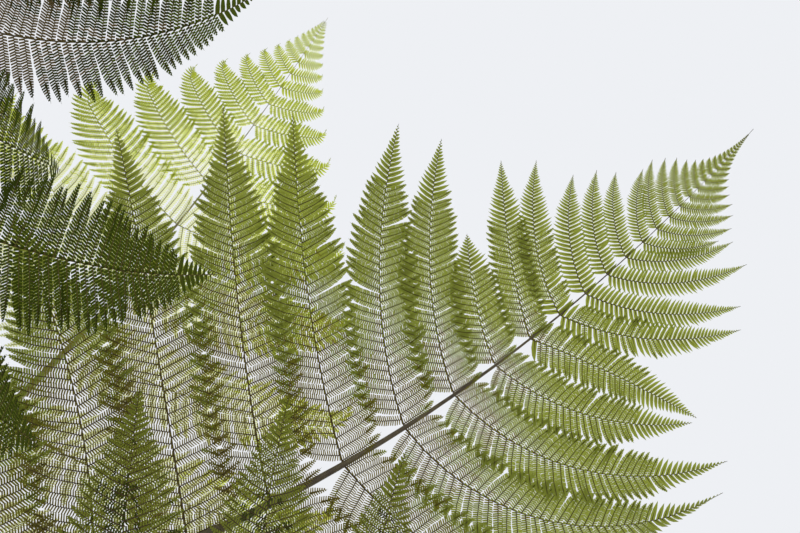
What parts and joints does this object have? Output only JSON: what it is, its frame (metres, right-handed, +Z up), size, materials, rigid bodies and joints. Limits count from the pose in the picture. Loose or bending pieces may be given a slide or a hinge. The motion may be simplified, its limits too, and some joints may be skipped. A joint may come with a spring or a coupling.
{
  "type": "tree fern",
  "caption": "Rooted tree fern: a slender leaning trunk with a flared foot under a full crown of long arching feather-shaped fronds.",
  "frame": {"origin": "middle of the flat cut under the trunk, at ground level", "axes": "+Z up the trunk, +X towards the right of the picture and +Y away from it"},
  "size_m": [3.962, 3.8358, 3.4299],
  "materials": {
    "trunk_bark": "rough fibrous bark",
    "frond": "matt green leaf",
    "young_frond": "thin bright leaf"
  },
  "bodies": {
    "root": {"frond_high_1_inner": "young_frond", "frond_high_1_outer": "young_frond", "frond_high_2_inner": "frond", "frond_high_2_outer": "frond", "frond_high_3_inner": "frond", "frond_high_3_outer": "frond", "frond_high_4_inner": "frond", "frond_high_4_outer": "frond", "frond_high_5_inner": "frond", "frond_high_5_outer": "frond", "frond_low_1_inner": "frond", "frond_low_1_outer": "frond", "frond_low_2_inner": "frond", "frond_low_2_outer": "frond", "frond_low_3_inner": "frond", "frond_low_3_outer": "frond", "frond_low_4_inner": "frond", "frond_low_4_outer": "frond", "frond_low_5_inner": "frond", "frond_low_5_outer": "frond", "frond_mid_1_inner": "frond", "frond_mid_1_outer": "frond", "frond_mid_2_inner": "frond", "frond_mid_2_outer": "frond", "frond_mid_3_inner": "frond", "frond_mid_3_outer": "frond", "frond_mid_4_inner": "frond", "frond_mid_4_outer": "frond", "frond_mid_5_inner": "frond", "frond_mid_5_outer": "frond", "frond_mid_6_inner": "frond", "frond_mid_6_outer": "frond", "trunk": "trunk_bark"}
  },
  "joints": []
}
